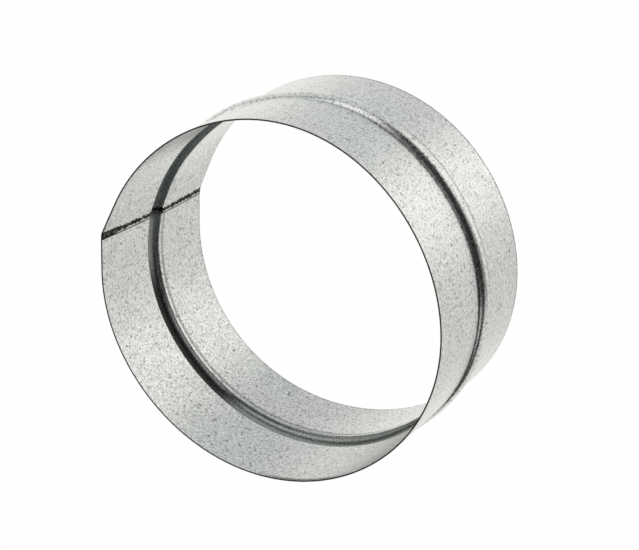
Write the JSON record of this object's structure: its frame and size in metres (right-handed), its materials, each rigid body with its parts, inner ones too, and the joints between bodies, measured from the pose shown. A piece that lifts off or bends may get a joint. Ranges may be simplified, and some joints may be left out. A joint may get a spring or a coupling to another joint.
{
  "type": "duct connector",
  "caption": "Short round sleeve of galvanised sheet steel with a raised stop bead at mid-length and a welded seam; round ducts slide over its ends up to the bead.",
  "frame": {"origin": "centre of the lower rim, on the sleeve's axis", "axes": "+Z along the sleeve's axis, up when it stands on a rim; +Y towards the welded seam"},
  "size_m": [0.1296, 0.1299, 0.064],
  "materials": {
    "galvanised_steel": "hot-dip galvanised sheet with a fine mottled spangle, burnt dark along the weld"
  },
  "bodies": {
    "root": {"connector_sleeve": "galvanised_steel"}
  },
  "joints": []
}
